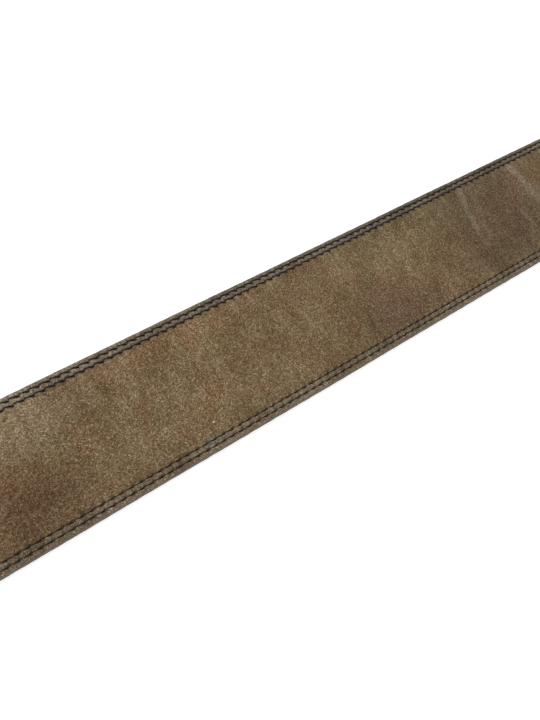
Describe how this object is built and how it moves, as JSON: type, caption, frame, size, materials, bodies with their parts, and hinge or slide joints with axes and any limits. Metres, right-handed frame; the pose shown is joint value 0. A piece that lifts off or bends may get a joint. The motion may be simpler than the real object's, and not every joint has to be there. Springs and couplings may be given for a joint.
{
  "type": "weightlifting belt",
  "caption": "Broad, thick suede leather weightlifting belt laid flat, with a prong buckle in its folded end, a row of punched holes and a rounded tip.",
  "frame": {"origin": "on the surface the belt lies on, under the middle of its box", "axes": "+X along the strap from the buckle to the tip, +Y across it, +Z out of its outer face, upwards"},
  "size_m": [1.058, 0.1186, 0.0173],
  "materials": {
    "suede": "suede",
    "steel": "satin",
    "thread": "waxed thread"
  },
  "bodies": {
    "root": {"strap": "suede", "buckle": "steel"}
  },
  "joints": []
}
